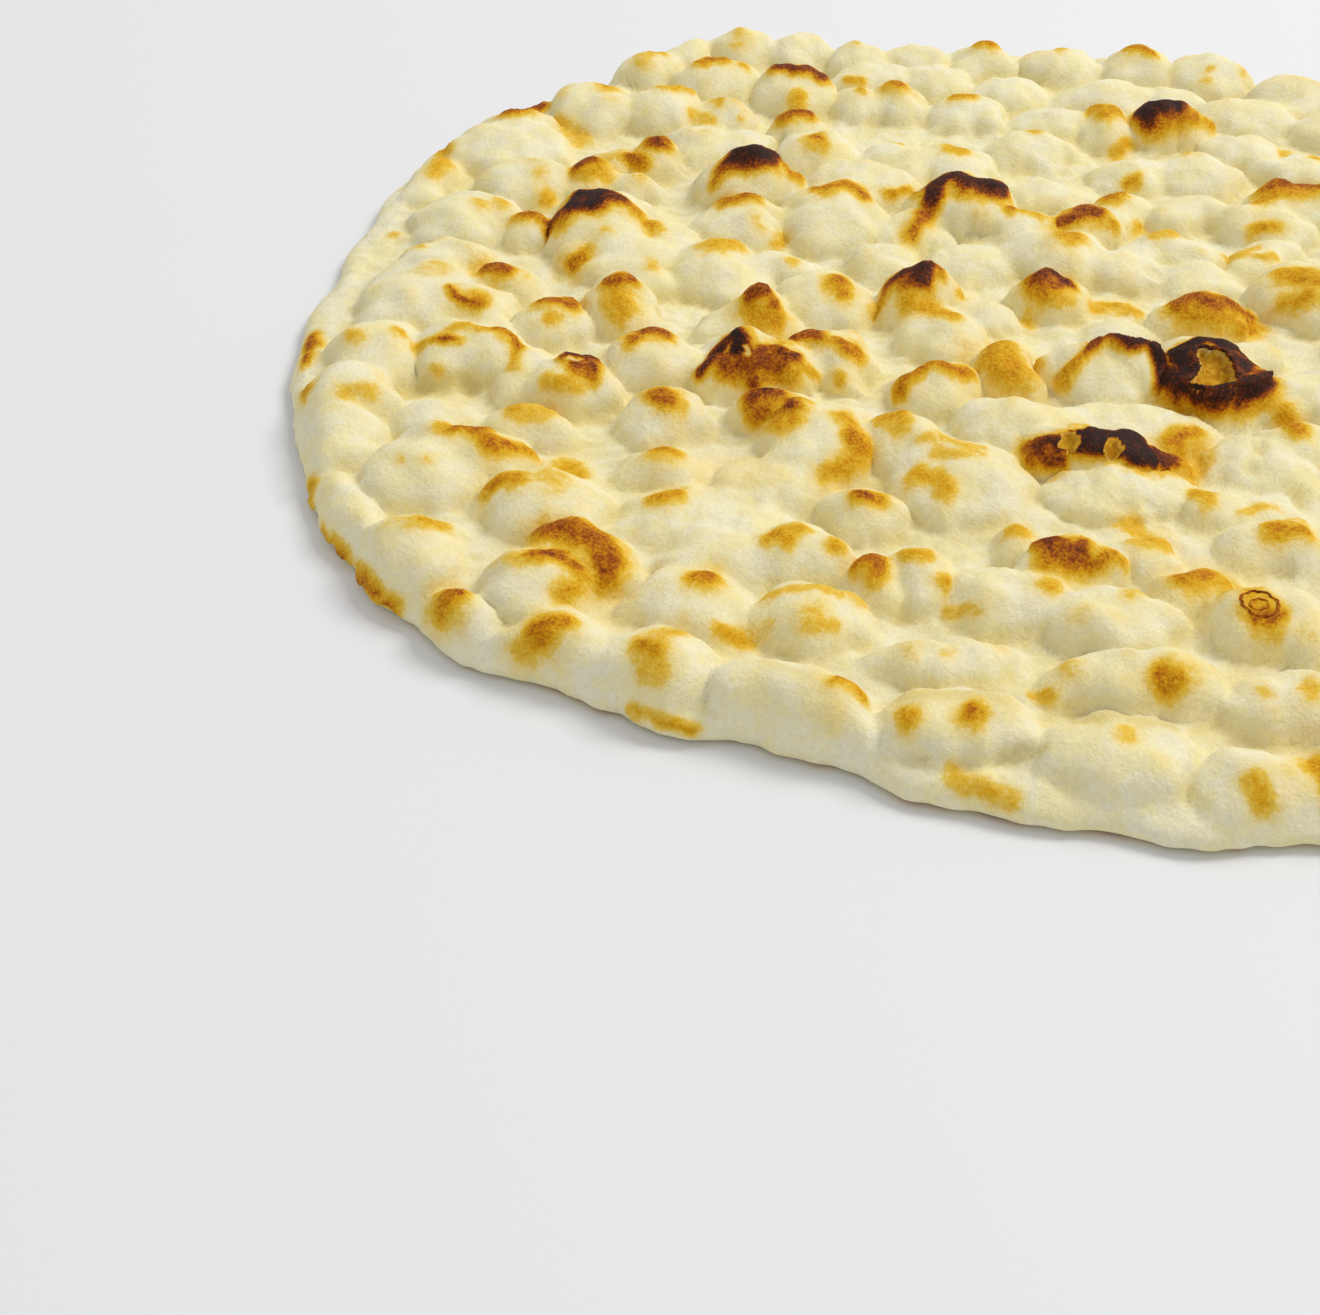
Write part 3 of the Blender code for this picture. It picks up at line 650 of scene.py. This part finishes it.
def seenAxes(line):  # the two directions across the line of sight to these points
    ahead = np.mean(line, axis=0) - np.array(view["eye"])
    right = np.cross(ahead, (0.0, 0.0, 1.0))
    up = np.cross(right, ahead)
    return np.stack([right / np.linalg.norm(right), up / np.linalg.norm(up)], axis=1)


def markField(marks, ragged):  # the strongest mark at every vertex, half as seen and half on the skin
    field = np.zeros(len(places))
    for depth, radius, line in marks:
        reach = radius * markFade["reach"]
        low, high = np.min(line, axis=0) - reach, np.max(line, axis=0) + reach
        near = np.all((places[:, :2] > low[:2]) & (places[:, :2] < high[:2]), axis=1) & onTop
        flat = seenAxes(line)
        asSeen = lineDistance(shaken[near] @ flat, list(np.array(line) @ flat))
        share = 0.5 * (lineDistance(shaken[near], line) + asSeen) / radius * ragged[near]
        share = share / markFade["size"]
        charred = (depth - markFade["charredFrom"]) / (1.0 - markFade["charredFrom"])
        charred = min(max(charred, 0.0), 1.0)
        inner, outer = np.array(markFade["core"]) + np.array(markFade["charredMore"]) * charred
        core = depth * (1.0 - smoothStep(inner, outer, share))
        gold = min(depth, markFade["gold"]) * (1.0 - smoothStep(*markFade["goldEdge"], share))
        halo = markFade["halo"] * depth * (1.0 - smoothStep(*markFade["haloEdge"], share))
        field[near] = np.maximum.reduce([field[near], core, gold, halo])
    return field


def seenMarks(table):
    marks = []
    for depth, radius, *numbers in table:
        line = sightLine(tree, numbers)
        if line:
            marks.append((depth, radius, line))
    return marks


def ruleMarks():
    draw = random.Random(markRule["seed"])
    lineX, lineY, slant = markRule["rightOf"]
    down = Vector((0.0, 0.0, -1.0))
    marks = []
    for x, y, length in [blister[:3] for blister in filled]:
        chance, depth = draw.random(), draw.uniform(*markRule["depth"])
        radius, aside = draw.uniform(*markRule["radius"]), draw.uniform(-markRule["aside"], markRule["aside"])
        reach = draw.uniform(0.0, markRule["reach"]) * length
        if chance < markRule["share"] and x > lineX + slant * (y - lineY):
            centre, back = x + aside * length, y + markRule["back"]
            starts = [Vector((end, back, markRule["above"])) for end in (centre - reach, centre + reach)]
            line = [tree.ray_cast(start, down)[0] for start in starts]
            marks.append((depth, radius, [tuple(point) for point in line if point is not None]))
    return [mark for mark in marks if mark[2]]


def blurred(values, times):  # mixed with the mean of the neighbouring vertices
    ends = np.zeros(len(crust.edges) * 2, dtype=int)
    crust.edges.foreach_get("vertices", ends)
    a, b = ends.reshape(-1, 2).T
    count = np.maximum(np.bincount(a, minlength=len(places)) + np.bincount(b, minlength=len(places)), 1)
    for _ in range(times):
        mean = (np.bincount(a, values[b], len(places)) + np.bincount(b, values[a], len(places))) / count
        values = 0.5 * values + 0.5 * mean
    return values


# painted shade: olive where the skin sinks below its surroundings, most on the faces turned to -Y
def creaseShadeField():
    height, least = places[:, 2], creaseShade["leastFacing"]
    sunk = np.clip((blurred(height, creaseShade["blur"]) - height) / creaseShade["deep"], 0.0, 1.0)
    crease = blurred(sunk, creaseShade["soften"])
    nearFace = least + (1.0 - least) * smoothStep(*creaseShade["facing"], -getNormals(crust)[:, 1])
    return crease * nearFace * smoothStep(*creaseShade["edge"], edgeDistance(places[:, 0], places[:, 1])) * onTop


def warmField():
    height = places[:, 2]
    standing = blurred(height - blurred(height, warmth["crestBlur"]), warmth["crestSoften"])
    crests = smoothStep(*warmth["crestRise"], standing)
    tops = smoothStep(*warmth["topHeights"], height)
    least, patchy = warmth["patches"]
    patches = least + patchy * softNoise(patternX, patternY, warmth["patchSize"], 33)
    return (warmth["tops"] * tops + warmth["crests"] * crests) * patches * onTop


def setAttribute(mesh, name, values):
    mesh.attributes.new(name, "FLOAT", "POINT").data.foreach_set("value", values.astype(np.float32))


patternX, patternY = places[:, 0], places[:, 1] * markFade["tilt"] - places[:, 2]
ragged = 1.0
for amount, size, seed in markFade["ragged"]:
    ragged = ragged + amount * softNoise(patternX, patternY, size, seed)
shakes = [softNoise(patternX, patternY, markFade["shakeSize"], seed) for seed in (34, 35, 36)]
shaken = places + np.stack(shakes, axis=1) * markFade["shake"]
smooth = np.ones(len(places))

tree = meshTree(crust)
foldLines = seenMarks(folds)
marks = seenMarks(toastMarks) + ruleMarks()
toast = blurred(markField(marks, ragged), 1)
nubs = markField([(depth, radius * markFade["nubSize"], line) for depth, radius, line in marks], smooth)
raised = markField([fold for fold in foldLines if fold[0] > 0], smooth)
sunken = markField([(-depth, radius, line) for depth, radius, line in foldLines if depth < 0], smooth)
places += getNormals(crust) * (naan["nub"] * nubs + raised - sunken)[:, None]
setPlaces(crust, places)
toast = np.maximum(toast, warmField())
# painted shade: olive-yellow in the listed hollows and at the feet of the blisters
paintedShade = np.maximum(markField(seenMarks(paintedShadeMarks), ragged), creaseShade["share"] * creaseShadeField())
print("toasted marks:", len(marks))

# holes in the burst blisters, torn spots and thin charred rings
holes = {
    # rim width, how charred the rim is, how golden the bare crumb inside is, then the places of the ragged
    # edge as seen from the eye; a width of 0 has no rim, and where the crumb is 0 the skin isn't broken
    "edges": (
        (1.0, 0.9, 1.0, 34, -24, 36, -23.5, 37.5, -24.5, 39, -24, 40, -25, 40.5, -28, 41, -29.5, 40.5,
         -33.5, 40, -37.5, 38.5, -38.5, 35.5, -39.5, 34, -40, 32, -39.5, 29.5, -38.5, 30.5, -36.5, 32, -35,
         33.5, -31.5, 33.5, -27),
        (0.0, 0.0, 1.0, -2, -59.5, -1, -59, 0.5, -58.5, 1.5, -60, 1.5, -62, 1, -63.5, 0, -65, -1, -67, -2,
         -65.5, -3.5, -63.5, -2.5, -62),
        (0.0, 0.0, 1.0, 9.5, -61, 10, -62.5, 10.5, -64.5, 9.5, -66.5, 8.5, -68, 7, -70, 6, -68, 6, -65.5, 7,
         -62.5, 8.5, -61),
        (0.34, 0.72, 0.0, 23.9, -119, 24.4, -116.2, 26.5, -114.8, 29, -115.3, 30.4, -117.5, 30, -120.5, 28,
         -122.3, 25.5, -121.8),
        (0.26, 0.62, 0.0, 25.3, -119.4, 25.5, -117.8, 27, -116.9, 28.6, -117.9, 28.2, -119.6, 26.7, -120.3),
        (0.0, 0.0, 0.45, -69, -24, -68.3, -23.8, -67.8, -25.4, -67.4, -27.2, -68.2, -28.4, -68.9, -29.4,
         -69, -27.8, -68.4, -26.6, -69.1, -25.4),
        (0.0, 0.0, 0.3, -109.2, -30.4, -107.5, -29.2, -105.3, -29.6, -104.8, -31, -106.5, -31.4, -108,
         -31.8),
    ),
    "seed": 5,
    "step": 0.45,  # along the ring
    "jitter": 0.3,  # how ragged it is
    "sink": 1.5,
    "slope": 1.4,  # how far in from its edge a hole gets to its depth
    "tear": (-0.1, 0.3),  # the skin is fully torn from this far in
    "reach": 13.0,  # only the skin this near to a hole's middle sinks
    "seenReach": 12.0,  # the same, as seen from the eye
    # how far outward and up each row of the rim lies
    "rim": ((0.5, -1.6), (0.15, 0.0), (0.0, 0.3), (0.4, 0.5), (1.0, 0.42), (1.8, 0.15), (2.6, -0.5)),
    "rimLeap": 2.5,  # where the skin falls away by more than this, the rim hangs free
    "rimDroop": 0.3,
    "rimStep": 0.5,
    "rimSmooth": 0.35,
    "rimUneven": (0.14, 1.8, 41),  # how charred it is varies by this much, over this size, with this seed
}


def apparent(points):  # the places in the reading plane that hide these points
    eye = np.array(view["eye"])
    return (eye + (points - eye) * ((view["readAt"] - eye[2]) / (points[:, 2] - eye[2]))[:, None])[:, :2]


def ringOf(numbers, draw):  # a closed ragged ring in small steps, and its outward directions
    corners = np.array(numbers, float).reshape(-1, 2)
    ahead = np.roll(corners, -1, axis=0)
    ring = []
    for start, end in zip(corners, ahead):
        parts = max(int(np.linalg.norm(end - start) / holes["step"]), 1)
        ring += [start + (end - start) * part / parts for part in range(parts)]
    ring = np.array(ring)
    along = np.roll(ring, -1, axis=0) - np.roll(ring, 1, axis=0)
    outward = np.stack([along[:, 1], -along[:, 0]], axis=1)
    outward /= np.linalg.norm(outward, axis=1)[:, None]
    if np.sum((ring - ring.mean(0)) * outward) < 0.0:
        outward = -outward
    outward = outward + np.roll(outward, 1, axis=0) + np.roll(outward, -1, axis=0)
    outward /= np.linalg.norm(outward, axis=1)[:, None]
    shake = np.array([draw.uniform(-1.0, 1.0) for _ in ring]) * holes["jitter"]
    return ring + outward * shake[:, None], outward


def insideRing(points, ring):  # distance from the ring's edge for points inside it, else 0
    inside = np.zeros(len(points), bool)
    for (x0, y0), (x1, y1) in zip(ring, np.roll(ring, -1, axis=0)):
        crosses = (points[:, 1] < y0) != (points[:, 1] < y1)
        if y0 != y1:
            inside ^= crosses & (points[:, 0] < x0 + (points[:, 1] - y0) * (x1 - x0) / (y1 - y0))
    gap = np.min(np.linalg.norm(points[:, None] - ring[None], axis=2), axis=1)
    return np.where(inside, gap, 0.0)


def sinkHole(ring):  # the skin inside the ring goes down, and is marked as torn
    seen = apparent(places)
    normals, toEye = getNormals(crust), np.array(view["eye"]) - places
    facing = np.einsum("ij,ij->i", normals, toEye)
    centre = ring.mean(0)
    hit = np.array(sightPoint(tree, *centre))
    near = (np.linalg.norm(places - hit, axis=1) < holes["reach"]) & (facing > 0.0) & onTop
    near &= np.linalg.norm(seen - centre, axis=1) < holes["seenReach"]
    depth = np.zeros(len(places))
    depth[near] = insideRing(seen[near], ring)
    places[:, 2] -= holes["sink"] * smoothStep(0.0, holes["slope"], depth)
    return smoothStep(*holes["tear"], depth) * (depth > 0.0)


def makeRim(ring, outward, wide, name):  # a charred, ragged rim that lies on the skin round the ring
    upward = Vector((0.0, 0.0, 1.0))
    bm = bmesh.new()
    rows, last = [], None
    for out, up in holes["rim"]:
        row = []
        for index, (x, y) in enumerate(ring + outward * out * wide):
            hit, normal = sightCast(tree, x, y)[1:]
            if last and (hit is None or (hit - last[index]).length > holes["rimLeap"]):
                away = Vector((*outward[index], -holes["rimDroop"]))
                hit, normal = last[index] + away * holes["rimStep"], upward
            row.append(hit)
            lift = (normal + upward).normalized() * up * (0.5 + 0.5 * wide)
            rows.append(bm.verts.new(hit + lift))
        last = row
    size = len(ring)
    for level in range(len(holes["rim"]) - 1):
        inner, outer = level * size, (level + 1) * size
        for index in range(size):
            after = (index + 1) % size
            corners = (inner + index, inner + after, outer + after, outer + index)
            bm.faces.new([rows[corner] for corner in corners])
    smoothVerts(bm, rows, holes["rimSmooth"])
    bm.normal_update()
    if sum(face.normal.z for face in bm.faces) < 0.0:
        bmesh.ops.reverse_faces(bm, faces=bm.faces)
    rim = bpy.data.meshes.new(name)
    bm.to_mesh(rim)
    bm.free()
    return rim


tree = meshTree(crust)
crumb, torn = np.zeros(len(places)), np.zeros(len(places))
rims = []
draw = random.Random(holes["seed"])
for wide, charred, golden, *numbers in holes["edges"]:
    ring, outward = ringOf(numbers, draw)
    if wide:
        rims.append(makeRim(ring, outward, wide, f"charredRim{len(rims) + 1}"))
        x, y = getPlaces(rims[-1])[:, :2].T
        amount, size, seed = holes["rimUneven"]
        setAttribute(rims[-1], "toast", charred + amount * softNoise(x, y, size, seed))
    if golden:
        inside = sinkHole(ring)
        torn = np.maximum(torn, inside)
        crumb = np.maximum(crumb, golden * inside)
setPlaces(crust, places)
setAttribute(crust, "toast", toast * (1.0 - torn))
# the painted shade goes to the shader as an attribute
setAttribute(crust, "paintedShade", paintedShade)
setAttribute(crust, "crumb", crumb)
print("charred rims:", len(rims))


def tone(red, green, blue):  # a colour as seen on a screen, 0 to 255, as the shader wants it
    shares = [channel / 255 for channel in (red, green, blue)]
    return tuple(((c + 0.055) / 1.055) ** 2.4 if c > 0.04045 else c / 12.92 for c in shares) + (1.0,)


crustLook = {
    "creamWarm": tone(242, 231, 178),
    "creamCool": tone(241, 235, 202),
    # painted shade: the olive-yellow that the hollows and the feet of the blisters are darkened to, and how
    # far
    "paintedShade": tone(214, 188, 92),
    "paintedShadeShare": 0.7,
    "crumb": tone(206, 158, 34),
    "crumbDark": tone(182, 122, 16),
    "crumbGrain": 1.6,  # mm, as are the sizes below
    "toast": (  # how toasted, colour
        (0.00, tone(244, 230, 178)), (0.13, tone(242, 216, 134)), (0.26, tone(234, 194, 76)),
        (0.42, tone(221, 168, 24)), (0.57, tone(198, 128, 8)), (0.71, tone(160, 80, 8)),
        (0.85, tone(96, 41, 14)), (0.97, tone(44, 25, 20)),
    ),
    "patch": 9.0,  # patches of warmer and cooler cream
    "smallPatch": 2.6,
    "grain": 1.1,  # felt-like grain of the skin
    "pore": 0.45,
    "speckle": 0.7,
    "feather": 2.8,  # the marks' edges are uneven in patches this big
    "featherShare": 0.42,
    "underSpot": 15.0,
    "grainDepth": 0.255,
    "specular": 0.12,
    "spreads": {  # from and to, and what these become where it isn't 0 and 1
        "cream": (0.40, 0.60),
        "underside": (0.4 * mm, 1.2 * mm, 1.0, 0.0),  # lightly browned up to this height
        "undersideSpots": (0.48, 0.72, 0.12, 0.7),
        "speckles": (0.15, 0.6, 0.14, 0.55),  # strongest where it is toasted
        "marked": (0.03, 0.3),
        "charred": (0.8, 1.0, 1.0, 0.6),
        "toasted": (0.02, 0.22),
        "crumb": (0.4, 0.6),
        "mottle": (0.3, 0.7, 0.90, 1.06),  # how dark and light the grain makes the colour
        "roughness": (0.3, 0.9, 0.82, 0.62),
    },
}


def crustMaterial():
    look = crustLook
    material = bpy.data.materials.new("crust")
    material.use_nodes = True
    nodes, links = material.node_tree.nodes, material.node_tree.links
    shader = nodes["Principled BSDF"]
    place = nodes.new("ShaderNodeTexCoord").outputs["Object"]

    def noise(size, detail=3.0, rough=0.5):
        node = nodes.new("ShaderNodeTexNoise")
        node.inputs["Scale"].default_value = 1.0 / (size * mm)
        node.inputs["Detail"].default_value = detail
        node.inputs["Roughness"].default_value = rough
        links.new(place, node.inputs["Vector"])
        return node.outputs["Fac"]

    def attribute(name):
        node = nodes.new("ShaderNodeAttribute")
        node.attribute_name = name
        return node.outputs["Fac"]

    def spread(value, name, kind="LINEAR"):
        node = nodes.new("ShaderNodeMapRange")
        node.interpolation_type = kind
        links.new(value, node.inputs["Value"])
        for socket, number in zip(("From Min", "From Max", "To Min", "To Max"), look["spreads"][name]):
            node.inputs[socket].default_value = number
        return node.outputs["Result"]

    def feed(socket, value):
        if isinstance(value, (int, float, tuple)):
            socket.default_value = value
        else:
            links.new(value, socket)

    def maths(kind, first, second):
        node = nodes.new("ShaderNodeMath")
        node.operation = kind
        for socket, value in zip(node.inputs, (first, second)):
            feed(socket, value)
        return node.outputs[0]

    def mixed(first, second, share):  # that share of the first, the rest of the second
        return maths("ADD", maths("MULTIPLY", first, share), maths("MULTIPLY", second, 1.0 - share))

    def blend(share, first, second, kind="MIX"):
        node = nodes.new("ShaderNodeMix")
        node.data_type, node.blend_type = "RGBA", kind
        for index, value in ((0, share), (6, first), (7, second)):
            feed(node.inputs[index], value)
        return node.outputs[2]

    # cream skin, with painted olive-yellow shade in its hollows
    grain, pore = noise(look["grain"], rough=0.6), noise(look["pore"], 2.0, 0.6)
    patches = mixed(noise(look["patch"]), noise(look["smallPatch"], rough=0.6), 0.6)
    cream = blend(spread(patches, "cream", "SMOOTHSTEP"), look["creamWarm"], look["creamCool"])
    cream = blend(maths("MULTIPLY", attribute("paintedShade"), look["paintedShadeShare"]), cream, look["paintedShade"])

    # how toasted it is, with the underside browned and the marks speckled and feathered
    axes = nodes.new("ShaderNodeSeparateXYZ")
    links.new(place, axes.inputs[0])
    under = spread(axes.outputs["Z"], "underside")
    spots = spread(noise(look["underSpot"]), "undersideSpots", "SMOOTHSTEP")
    toasted = maths("MAXIMUM", attribute("toast"), maths("MULTIPLY", under, spots))
    speckle = maths("SUBTRACT", noise(look["speckle"], rough=0.65), 0.5)
    speckle = maths("MULTIPLY", speckle, spread(toasted, "speckles", "SMOOTHSTEP"))
    feather = maths("SUBTRACT", noise(look["feather"], rough=0.6), 0.5)
    uneven = maths("ADD", speckle, maths("MULTIPLY", feather, look["featherShare"]))
    marked = maths("MULTIPLY", spread(toasted, "marked", "SMOOTHSTEP"), spread(toasted, "charred"))
    toasted = maths("ADD", toasted, maths("MULTIPLY", uneven, marked))

    ramp = nodes.new("ShaderNodeValToRGB")
    links.new(toasted, ramp.inputs["Fac"])
    stops = ramp.color_ramp.elements
    stops[0].position, stops[0].color = look["toast"][0]
    stops[1].position, stops[1].color = look["toast"][-1]
    for position, colour in look["toast"][1:-1]:
        stops.new(position).color = colour
    colour = blend(spread(toasted, "toasted"), cream, ramp.outputs["Color"])
    crumb = spread(noise(look["crumbGrain"]), "crumb", "SMOOTHSTEP")
    colour = blend(attribute("crumb"), colour, blend(crumb, look["crumb"], look["crumbDark"]))
    mottle = spread(mixed(grain, pore, 0.6), "mottle")
    shade = nodes.new("ShaderNodeCombineColor")
    for socket in shade.inputs:
        links.new(mottle, socket)
    colour = blend(1.0, colour, shade.outputs["Color"], "MULTIPLY")
    links.new(colour, shader.inputs["Base Color"])

    bump = nodes.new("ShaderNodeBump")
    bump.inputs["Strength"].default_value = 1.0
    bump.inputs["Distance"].default_value = look["grainDepth"] * mm
    links.new(maths("ADD", grain, maths("MULTIPLY", pore, 0.4)), bump.inputs["Height"])
    links.new(bump.outputs["Normal"], shader.inputs["Normal"])
    links.new(spread(toasted, "roughness"), shader.inputs["Roughness"])
    shader.inputs["Specular IOR Level"].default_value = look["specular"]
    return material


low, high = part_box("naan")
middle = (places.min(0) + places.max(0)) / 2
shift = np.array([middle[0] - (low.x + high.x) / 2 / mm, middle[1] - (low.y + high.y) / 2 / mm, 0.0])
material = crustMaterial()
for part in [crust] + rims:
    setPlaces(part, (getPlaces(part) - shift) * mm)
    part.shade_smooth()
    part.materials.append(material)
    piece = bpy.data.objects.new(part.name, part)
    bpy.context.scene.collection.objects.link(piece)
    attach(piece, "root")
    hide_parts("naan")
print("pieces dressed:", 1 + len(rims))


def makeCamera():
    down, roll = math.radians(view["down"]), math.radians(view["roll"])
    forward = Vector((0.0, math.cos(down), -math.sin(down)))
    right = Vector((1.0, 0.0, 0.0))
    up = right.cross(forward)
    xAxis = right * math.cos(roll) + up * math.sin(roll)
    yAxis = up * math.cos(roll) - right * math.sin(roll)
    data = bpy.data.cameras.new("camera")
    data.sensor_fit = "HORIZONTAL"
    data.sensor_width = view["sensor"]
    data.lens = view["lens"]
    data.clip_start, data.clip_end = view["clip"]
    camera = bpy.data.objects.new("camera", data)
    matrix = Matrix((xAxis, yAxis, -forward)).transposed().to_4x4()
    matrix.translation = Vector((np.array(view["eye"]) - shift) * mm)
    camera.matrix_world = matrix
    bpy.context.scene.collection.objects.link(camera)
    bpy.context.scene.camera = camera


studio = {  # in metres
    "floor": tone(232, 233, 235),
    "floorRoughness": 0.7,
    "floorSize": 6.0,
    "floorDrop": 0.0002,  # the bread's flat face stays clear of it
    "keyPlace": (1.55, 0.85, 2.25),
    "keySize": 1.2,
    "keyPower": 48.5,
    "keyColour": (1.0, 0.98, 0.94),
    "skyColour": (0.965, 0.97, 0.985, 1.0),
    "skyPower": 0.61,
}


def makeFloor():
    bpy.ops.mesh.primitive_plane_add(size=studio["floorSize"], location=(0.0, 0.0, -studio["floorDrop"]))
    floor = bpy.context.active_object
    floor.name = "floor"
    material = bpy.data.materials.new("floor")
    material.use_nodes = True
    shader = material.node_tree.nodes["Principled BSDF"]
    shader.inputs["Base Color"].default_value = studio["floor"]
    shader.inputs["Roughness"].default_value = studio["floorRoughness"]
    floor.data.materials.append(material)


def makeLight():
    data = bpy.data.lights.new("key", "AREA")
    data.size = studio["keySize"]
    data.energy = studio["keyPower"]
    data.color = studio["keyColour"]
    light = bpy.data.objects.new("key", data)
    light.location = studio["keyPlace"]
    light.rotation_euler = (-Vector(studio["keyPlace"])).to_track_quat("-Z", "Y").to_euler()
    bpy.context.scene.collection.objects.link(light)
    world = bpy.data.worlds.new("sky")
    world.use_nodes = True
    background = world.node_tree.nodes["Background"]
    background.inputs["Color"].default_value = studio["skyColour"]
    background.inputs["Strength"].default_value = studio["skyPower"]
    bpy.context.scene.world = world


makeCamera()
makeFloor()
makeLight()
bpy.context.scene.view_settings.view_transform = "Standard"
print("camera, floor and light set")
